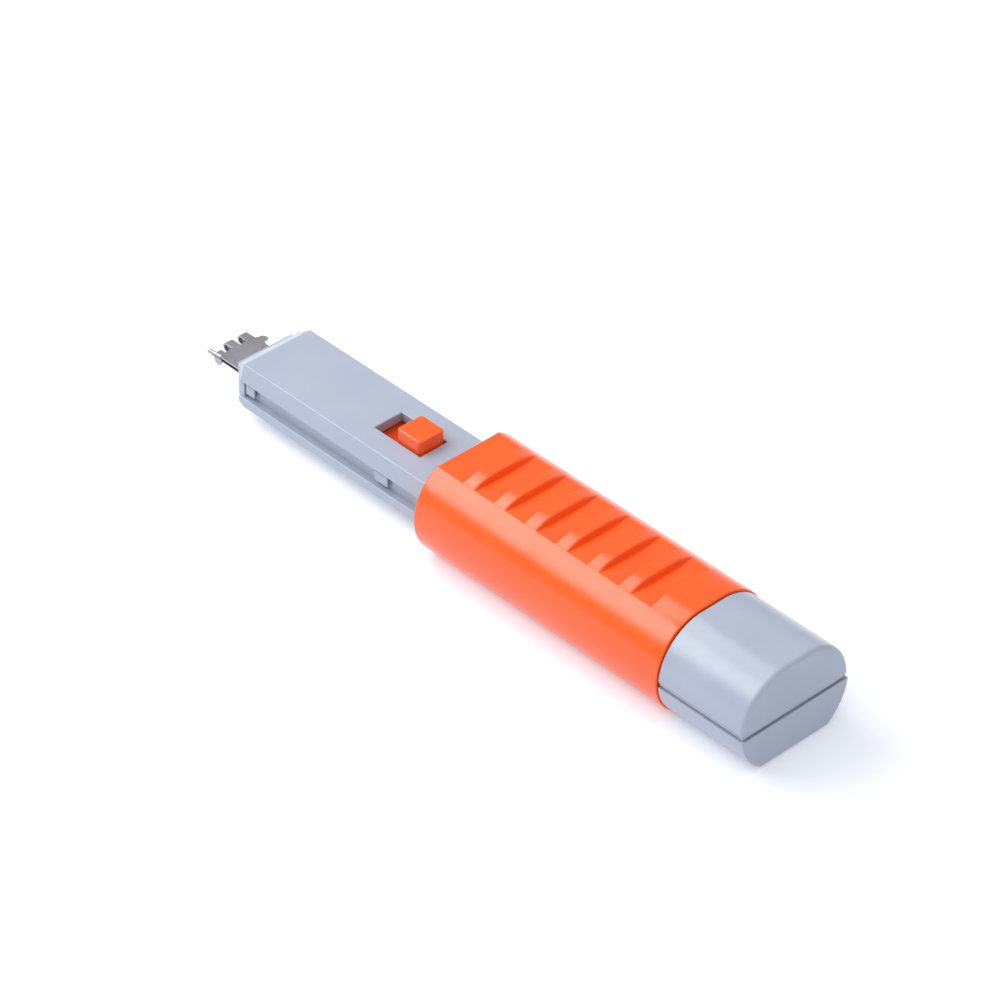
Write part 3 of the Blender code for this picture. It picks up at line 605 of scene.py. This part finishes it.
def sleeve_rings():
    """Station and inset of each ring of the sleeve, from the rear end to the front."""
    stations = {SLEEVE_REAR + 2, SLEEVE_FRONT - 2, RECESS_REAR - 3}
    for index, mark in enumerate(rib_edges()):
        outward = 1 if index % 2 == 0 and index < 2 * RIB_COUNT else -1
        stations.update(mark + outward * step for step, share in RIB_STEP)
    rear = rounded_end(SLEEVE_REAR, SLEEVE_END_RADII[0], -1)
    front = rounded_end(SLEEVE_FRONT, SLEEVE_END_RADII[1], 1)
    return rear + [(station, 0.0) for station in sorted(stations)] + front[::-1]


def sleeve_rails():
    """Ribs inside the sleeve that run on the tongue, and keys that run in its grooves."""
    rear, front = SPIGOT_FRONT + 2 * GAP, SLEEVE_FRONT
    side, top, floor = SLIDER_HALF_WIDTH + GAP, SLIDER_TOP + GAP, SLIDER_FLOOR - GAP
    rails = ((front, TOP_RAIL, (top, 18)), (front, BOTTOM_RAIL, (0.5, floor)),
             (front, (side, RAIL_ROOT), SIDE_RAIL_HEIGHTS),
             (rear + KEY_LENGTH, (KEY_INNER, RAIL_ROOT), KEY_HEIGHTS))
    blocks = []
    for sign in (-1, 1):
        for end, across, heights in rails:
            blocks.append((rear, end, *sorted(sign * y for y in across), *heights))
    return boxes("rails", blocks)


def guard_sleeve():
    base = round_section(SLEEVE_RADIUS, SLEEVE_SPREAD, 0.0, 99, 44,
                         [RECESS_HALF_WIDTH + step for step in RECESS_SIDE_STEPS])
    loops = []
    for station, amount in sleeve_rings():
        outline = inset(sleeve_outline(base, station), amount)
        loops.append([world(station, y, h) for y, h in outline])
    sleeve = loft("sleeve_shell", loops, 38)

    hollow_line = round_section(SLEEVE_RADIUS - SLEEVE_WALL, SLEEVE_SPREAD, SLEEVE_WALL,
                                SLEEVE_CEILING)
    hollow = section("hollow", hollow_line, SLEEVE_REAR - 1, SLEEVE_FRONT - 2)
    carve(hollow, sleeve_rails())
    side, top, floor = SLIDER_HALF_WIDTH + GAP, SLIDER_TOP + GAP, SLIDER_FLOOR - GAP
    mouth_line = mirrored([(side, floor), (side, top), (THUMB_KEYWAY, top),
                           (THUMB_KEYWAY, SLEEVE_CEILING)])
    mouth = section("mouth", mouth_line, SLEEVE_FRONT - MOUTH_DEPTH, SLEEVE_FRONT + 1)
    seat = cylinder("rivet_seat", RIVET_SEAT, 1.5, world(RIVET_STATION, 0, 1.9), "Z", 16)
    carve(sleeve, hollow, mouth, seat)
    settle(sleeve, 38)
    dress(sleeve, "orange_plastic", "guard", "guard_sleeve")


# ------------------------------------------------------------------ housing

def clip_corners(block, plane, half_width, height):
    """Cut both front corners along a plane and its mirror image."""
    station, (along, across, upward) = plane
    for side in (-1, 1):
        slice_off(block, world(station, side * half_width, height),
                  Vector((along, side * across, upward)))


def slider_block(name, bottom, top):
    """Part of the slider between two heights, with its front chamfers."""
    outline = mirrored([(SLIDER_HALF_WIDTH, bottom), (SLIDER_HALF_WIDTH, top)])
    block = section(name, outline, SLIDER_REAR, SLIDER_FRONT)
    clip_corners(block, CORNER_PLANE, SLIDER_HALF_WIDTH, SLIDER_TOP)
    for (station, direction), height in ((BROW_PLANE, SLIDER_TOP), (CHIN_PLANE, SLIDER_FLOOR)):
        slice_off(block, world(station, 0, height), Vector(direction))
    return block


def cap_half(name, outline, hollow_line, rounding, lip_line=None):
    """Half of the cap, rounded at the rear and hollow on both sides of its web."""
    half = section(name, outline, 0, CAP_LENGTH)
    edge_weights(half, rounding)
    modifier(half, "BEVEL", width=rounding * MM, segments=6, limit_method="WEIGHT")
    bake(half)
    if lip_line:
        lip = section(name + "_lip", lip_line, CAP_GROOVE_DEPTH, CAP_LENGTH)
        carve(half, lip, operation="UNION")
    for rear, front in CAP_HOLLOWS:
        carve(half, section(name + "_hollow", hollow_line, rear, front))
    return half


def edge_weights(half, rounding):
    """Large radius around the rear face, small ones on the groove and front edges."""
    bm = bmesh.new()
    bm.from_mesh(half.data)
    layer = bm.edges.layers.float.new("bevel_weight_edge")
    rear = REAR_X * MM
    groove_heights = (CAP_GROOVE_TOP * MM, CAP_GROOVE_BOTTOM * MM)
    for edge in bm.edges:
        if edge.calc_face_angle(0) < math.radians(25):
            continue
        at_rear = all(abs(v.co.x - rear) < 1e-6 for v in edge.verts)
        flat = all(min(abs(v.co.z - g) for g in groove_heights) < 1e-6 for v in edge.verts)
        low = all(abs(v.co.z - CAP_FLOOR * MM) < 1e-6 for v in edge.verts)
        if flat:
            edge[layer] = CAP_GROOVE_ROUNDING / rounding
        elif at_rear:
            edge[layer] = 1.0
        elif low:
            edge[layer] = CAP_FLOOR_ROUNDING / rounding
        else:
            edge[layer] = CAP_FRONT_ROUNDING / rounding
    bm.to_mesh(half.data)
    bm.free()


def spigot(name, floor, ceiling):
    """Collar ahead of the cap that fills the sleeve's rear end."""
    collar = round_section(SLEEVE_RADIUS - SLEEVE_WALL - GAP, SLEEVE_SPREAD, floor, ceiling)
    return section(name, collar, SPIGOT_REAR, SPIGOT_FRONT)


def snap_tabs():
    """Pads that stand in the side grooves, rounded, and the webs that hold them."""
    root = SKIRT_INNER - 0.05
    tabs = []
    webs = []
    for rear, front in SNAP_TABS:
        for side in (-1, 1):
            low, high = sorted((side * root, side * TAB_OUTER))
            tabs.append((rear, front, low, high, TAB_FOOT, TAB_TOP))
            low, high = sorted((side * root, side * (SKIRT_INNER + 0.08)))
            webs.append((rear + WEB_EASE, front - WEB_EASE, low, high, TAB_TOP - 0.5,
                         UPPER_EDGE + 0.5))
    return round_edges(boxes("tabs", tabs), 0.08, 2), boxes("tab_webs", webs)


def thumb_slot():
    """Cutter for the slot, flared at the top so that its rim is chamfered."""
    rings = []
    for height, flare in ((10.5, 0), (SLIDER_TOP - SLOT_FLARE, 0), (SLIDER_TOP, SLOT_FLARE),
                          (15, SLOT_FLARE)):
        half = SLOT_HALF_WIDTH + flare
        rear, front = SLOT_REAR - flare, SLOT_FRONT + flare
        rings.append([world(s, y, height) for s, y in
                      ((rear, -half), (rear, half), (front, half), (front, -half))])
    return loft("slot_cut", rings)


def upper_shell():
    shell = slider_block("upper_slider", UPPER_EDGE, SLIDER_TOP)
    round_edges(shell, 0.3, 1, 15)
    channel = mirrored([(SKIRT_INNER, 7), (SKIRT_INNER, LIP_TOP + GAP),
                        (CAVITY_EASE, LIP_TOP + GAP), (CAVITY_EASE, CAVITY_TOP)])
    carve(shell, section("channel", channel, SPIGOT_FRONT - 0.2, SLIDER_FRONT + 3))
    top = round_section(CAP_RADIUS, CAP_SPREAD, CAP_GROOVE_TOP, 99)
    lip = round_section(CAP_RADIUS - CAP_GROOVE_DEPTH, CAP_SPREAD, LIP_BOTTOM, 16)
    hollow = round_section(CAP_RADIUS - CAP_WALL, CAP_SPREAD, 8.0, 99)
    cap = cap_half("cap_top", top, hollow, TOP_REAR_ROUNDING, lip)
    boss = boxes("boss", [(*BOSS, BOSS_SPLIT[1], CAVITY_TOP + 0.4)])
    carve(shell, cap, spigot("spigot_top", LIP_BOTTOM, SPIGOT_TOP), boss, *snap_tabs(),
          operation="UNION")
    carve(shell, thumb_slot())
    for station, foot, seat, end in SCREWS:
        carve(shell, upright_hole("pilot", SCREW_BORE, station, PILOT_FOOT, end))
    settle(shell)
    dress(shell, "grey_plastic", "housing", "upper_shell")


def lower_slider():
    """Flanges, lips and corner posts, with the channel that the carriage runs in."""
    flange = slider_block("lower_slider", SLIDER_FLOOR, FLANGE_TOP)
    round_edges(flange, 0.26, 3, 15)
    rear = SPIGOT_FRONT + GAP
    lips = boxes("lips", [(rear, SLIDER_FRONT, -LIP_OUTER, LIP_OUTER, 4, LIP_TOP)])
    clip_corners(lips, LIP_CORNER_PLANE, LIP_CORNER_HALF_WIDTH, 9)
    posts = boxes("posts", [(POST_REAR, SLIDER_FRONT, -POST_OUTER, POST_OUTER,
                             FLANGE_TOP - 0.2, UPPER_EDGE - GAP)])
    clip_corners(posts, CORNER_PLANE, SLIDER_HALF_WIDTH, SLIDER_TOP)
    carve(flange, lips, round_edges(posts, 0.12, 2), operation="UNION")
    half = CAVITY_HALF_WIDTH
    return carve(flange, boxes("channel", [(rear, SLIDER_FRONT + 3, -half, half,
                                            CAVITY_FLOOR, 12)]))


def lower_shell():
    shell = lower_slider()
    bottom = round_section(CAP_RADIUS, CAP_SPREAD, CAP_FLOOR, CAP_GROOVE_BOTTOM)
    hollow = round_section(CAP_RADIUS - CAP_WALL, CAP_SPREAD, 2.6, 9.0)
    cap = cap_half("cap_bottom", bottom, hollow, BOTTOM_REAR_ROUNDING)
    boss = boxes("boss", [(*BOSS, CAVITY_FLOOR - 0.4, BOSS_SPLIT[0])])
    carve(shell, cap, spigot("spigot_bottom", SPIGOT_BOTTOM, CAP_GROOVE_BOTTOM), boss,
          operation="UNION")
    pockets = []
    for side in (-1, 1):
        edges = sorted(side * edge for edge in POCKET_SIDES)
        for rear, front in LIP_POCKETS:
            pockets.append((rear, front, *edges, CAVITY_FLOOR, 12))
    carve(shell, boxes("pockets", pockets))
    for station, foot, seat, end in SCREWS:
        carve(shell, upright_hole("bore", SCREW_BORE, station, *BORE_SPAN),
              upright_hole("sink", SCREW_SINK, station, foot, seat))
    settle(shell)
    dress(shell, "grey_plastic", "housing", "lower_shell")


def nose_guide():
    half = CAVITY_HALF_WIDTH - GAP
    rear = SLIDER_FRONT - 0.02
    start, narrow = NOSE_CHAMFER
    outline = [(rear, -NOSE_HALF_WIDTH), (rear, NOSE_HALF_WIDTH), (start, NOSE_HALF_WIDTH),
               (NOSE_FRONT, narrow), (NOSE_FRONT, -narrow), (start, -NOSE_HALF_WIDTH)]
    nose = round_edges(plan("nose", outline, NOSE_BOTTOM, NOSE_TOP), 0.22, 3)
    body = boxes("nose_body", [(NOSE_REAR, NOSE_BODY_FRONT, -half, half, NOSE_FLOOR,
                                CARRIAGE_TOP - GAP)])
    keys = boxes("nose_keys", [(*NOSE_KEYS, -NOSE_KEY_HALF_WIDTH, NOSE_KEY_HALF_WIDTH,
                                NOSE_FLOOR, NOSE_KEY_TOP)])
    carve(nose, body, keys, operation="UNION")
    slot_half, floor, ceiling = NOSE_SLOT
    carve(nose, boxes("nose_slot", [(NOSE_REAR - 1, NOSE_FRONT + 1, -slot_half, slot_half,
                                     floor, ceiling)]))
    settle(nose)
    dress(nose, "grey_plastic", "housing", "nose_guide")


# ------------------------------------------------------------------ carriage pieces

def thumb_button():
    corners = []
    for angle, along, across in ((0, 1, 1), (90, -1, 1), (180, -1, -1), (270, 1, -1)):
        centre = (BUTTON_MIDDLE + along * (BUTTON_LENGTH / 2 - BUTTON_CORNER),
                  across * (BUTTON_HALF_WIDTH - BUTTON_CORNER))
        corners += arc(centre, BUTTON_CORNER, angle, angle + 90, 12)
    button = plan("button_cap", corners, CARRIAGE_TOP + GAP, BUTTON_TOP)
    round_edges(button, BUTTON_ROUNDING, 3, 40)
    radius, foot, end = BUTTON_BORE
    carve(button, upright_hole("bore", radius, BUTTON_MIDDLE, foot, end))
    settle(button)
    dress(button, "orange_plastic", "carriage", "thumb_button")


def curl_outline():
    """Side view of a finger's front end: level, then round and back under itself."""
    centre = (CURL_STATION, PLATE_TOP - CURL_RADIUS)
    outer = arc(centre, CURL_RADIUS, 90, -190, 48)
    inner = arc(centre, CURL_RADIUS - PLATE_THICKNESS, -190, 90, 48)
    root = CURL_STATION - 0.6
    return outer + inner + [(root, PLATE_TOP - PLATE_THICKNESS), (root, PLATE_TOP)]


def pin_holes(bottom, top):
    """Cutters for the two pins, through a plate between two heights."""
    return [upright_hole("pin_hole", PIN_RADIUS + GAP, station, bottom - 1, top + 1, 24)
            for station in PIN_STATIONS]


def head_outline():
    """Plan of the top plate: near corner, two fingers with gaps, far barb and tang."""
    near = [(TANG_REAR, -TANG_HALF_WIDTH), (WIDE_REAR, -TANG_HALF_WIDTH),
            (WIDE_REAR + 0.5, -HEAD_HALF_WIDTH), (ROLL_START[0], -HEAD_HALF_WIDTH),
            (ROLL_START[0], -4.2), (145.92, -4.2), (145.92, -2.95), (144.75, -3.05)]
    fingers = []
    for left, right in FINGERS:
        fingers += [(144.85, left), (CURL_STATION, left), (CURL_STATION, right),
                    (144.6, right)]
    barb = [(144.34, 4.66), (144.27, 5.1), (144.1, 5.57), (143.71, 5.85), (143.08, 5.92),
            (142.67, 5.79), (142.5, 5.4), (142.55, 4.9), (142.4, 4.5), (141.6, 4.35),
            (WIDE_REAR + 0.5, 4.3), (WIDE_REAR, TANG_HALF_WIDTH)]
    return (near + fingers + barb + [(TANG_REAR, TANG_HALF_WIDTH)])[::-1]


def head_upper_plate():
    plate = plan("head_plate", head_outline(), PLATE_TOP - PLATE_THICKNESS, PLATE_TOP)
    carve(plate, *pin_holes(PLATE_TOP - PLATE_THICKNESS, PLATE_TOP))
    curls = [side_view("curl", curl_outline(), left, right) for left, right in FINGERS]
    carve(plate, *curls, rolled_edge(), hanging_tab(), operation="UNION")
    round_edges(plate, 0.05, 2, 40)
    settle(plate)
    dress(plate, "stamped_steel", "carriage", "head_upper_plate")


def rolled_edge():
    """Tube along the near edge, a little askew, with its bore and its seam."""
    rings = []
    for station, y in (ROLL_START, ROLL_END):
        rings.append([world(station, a, h)
                      for a, h in arc((y, ROLL_HEIGHT), ROLL_RADIUS, 0, 350, 35)])
    roll = loft("roll", rings)
    bore = cylinder("bore", ROLL_BORE, 2.0, world(OVERALL, ROLL_END[1], ROLL_HEIGHT), "X", 16)
    seam = boxes("seam", [(*SEAM_SPAN, -5, -4.1, ROLL_HEIGHT - 0.2, ROLL_HEIGHT + 0.02)])
    return carve(roll, bore, seam)


def hanging_tab():
    """Small tongue under the rolled edge, with a round lower end."""
    rear, front = TAB_SPAN
    reach = (front - rear) / 2
    drop = [(rear, ROLL_HEIGHT), (front, ROLL_HEIGHT)]
    drop += arc(((rear + front) / 2, TAB_BOTTOM + reach), reach, 0, -180, 20)
    return side_view("hanging_tab", drop, *TAB_SIDES)


def head_lower_plate():
    half = TANG_HALF_WIDTH - 0.15
    near = 0.1 - HEAD_HALF_WIDTH
    bottom = LOWER_PLATE_TOP - LOWER_PLATE_THICKNESS
    outline = [(TANG_REAR, -half), (TANG_REAR, half), (141.6, half), (143.4, 2.6),
               (143.9, -2.4), (144.3, -3.4), (144.3, near), (WIDE_REAR + 0.5, near),
               (WIDE_REAR, -half)]
    plate = round_edges(plan("head_underplate", outline, bottom, LOWER_PLATE_TOP), 0.05, 2)
    carve(plate, *pin_holes(bottom, LOWER_PLATE_TOP))
    settle(plate)
    dress(plate, "blackened_steel", "carriage", "head_lower_plate")


def return_spring():
    """Coil around the pull rod, built at one length; the real spring shortens as the carriage
    goes forward.
    """
    rear, front = SPRING_ENDS
    steps = SPRING_TURNS * COIL_STEPS
    rings = []
    for i in range(steps + 1):
        share = i / steps
        turn = math.tau * SPRING_TURNS * share
        station = rear + SPRING_WIRE + (front - rear - 2 * SPRING_WIRE) * share
        out = Vector((0, math.cos(turn), math.sin(turn)))
        along = Vector((1, 0, 0))
        centre = world(station, 0, ROD_HEIGHT) + out * SPRING_RADIUS * MM
        rings.append([centre + (out * math.cos(a) + along * math.sin(a)) * SPRING_WIRE * MM
                      for a in [math.tau * k / WIRE_SIDES for k in range(WIRE_SIDES)]])
    coil = loft("spring_coil", rings, 60)
    dress(coil, "spring_steel", "housing", "return_spring")
    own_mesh(coil)


# ------------------------------------------------------------------ studio

def area_light(name, place, aim, size, power):
    """Rectangular light at a place, turned to a point."""
    light = bpy.data.lights.new(name, "AREA")
    light.shape = "RECTANGLE"
    light.size, light.size_y = size
    light.energy = power
    obj = bpy.data.objects.new(name, light)
    obj.location = place
    direction = Vector(aim) - Vector(place)
    obj.rotation_euler = direction.to_track_quat("-Z", "Y").to_euler()
    bpy.context.scene.collection.objects.link(obj)


def paper_floor():
    """Plain pale floor that also glows a little, so that it stays near white."""
    bm = bmesh.new()
    bmesh.ops.create_grid(bm, x_segments=1, y_segments=1, size=3)
    floor = finish_mesh("floor", bm)
    n = Nodes("floor_paper")
    paper = n.mix(n.spread(n.noise(3, 2), 0, 1), (0.66, 0.68, 0.72, 1), (0.68, 0.7, 0.74, 1))
    n.set(Base_Color=paper, Roughness=0.9, Emission_Color=(0.88, 0.9, 1.0, 1))
    n.shader.inputs["Emission Strength"].default_value = 0.3
    floor.data.materials.append(n.material)


def studio():
    """Standard view, an even sky, the floor and the lights."""
    scene = bpy.context.scene
    scene.view_settings.view_transform = "Standard"
    sky = bpy.data.worlds.new("studio")
    sky.use_nodes = True
    background = sky.node_tree.nodes["Background"]
    background.inputs["Color"].default_value = (0.97, 0.98, 1.0, 1)
    background.inputs["Strength"].default_value = 0.55
    scene.world = sky
    paper_floor()
    area_light("overhead", (0.0, 0.0, 1.1), (0, 0, 0), (1.0, 1.0), 2.5)
    for name, settings in SOFT_BOXES.items():
        soft_box(name, *settings)


def soft_box(name, azimuth, elevation, distance, size, power):
    """Area light aimed at the tool from a direction given in degrees."""
    azimuth, elevation = math.radians(azimuth), math.radians(elevation)
    place = Vector((math.cos(azimuth) * math.cos(elevation),
                    math.sin(azimuth) * math.cos(elevation), math.sin(elevation)))
    area_light(name, place * distance, (0, 0, 0.01), size, power)


def camera():
    """Camera at the angle of the photograph, framed on the tool's middle."""
    azimuth, elevation = math.radians(CAMERA_AZIMUTH), math.radians(CAMERA_ELEVATION)
    back = Vector((math.sin(azimuth) * math.cos(elevation),
                   -math.cos(azimuth) * math.cos(elevation), math.sin(elevation)))
    right = Vector((math.cos(azimuth), math.sin(azimuth), 0))
    up = back.cross(right)
    target = world(*CAMERA_AIM) + (right * CAMERA_SHIFT[0] + up * CAMERA_SHIFT[1]) * MM
    data = bpy.data.cameras.new("camera")
    data.lens = CAMERA_LENS
    data.clip_start = 0.01
    obj = bpy.data.objects.new("camera", data)
    turn = Matrix((right, up, back)).transposed().to_4x4()
    obj.matrix_world = Matrix.Translation(target + back * CAMERA_DISTANCE * MM) @ turn
    bpy.context.scene.collection.objects.link(obj)
    bpy.context.scene.camera = obj


def paint_cad_nodes():
    """Give each CAD node the material of its slot; the carriage gets a darker, duller copy of
    the orange, painted shade for the deep thumb slot it shows through.
    """
    slots = {row["node"]: row["material_slot"] for row in frame["record"]["subparts"]}
    for name, node in frame["nodes"].items():
        node.data.materials.clear()
        node.data.materials.append(SLOT_MATERIALS[slots[name]])
    frame["nodes"]["carriage"].data.materials[0] = SLOT_SHADE_ORANGE


def main():
    camera()
    studio()
    guard_sleeve()
    upper_shell()
    lower_shell()
    nose_guide()
    thumb_button()
    head_upper_plate()
    head_lower_plate()
    return_spring()
    paint_cad_nodes()


main()
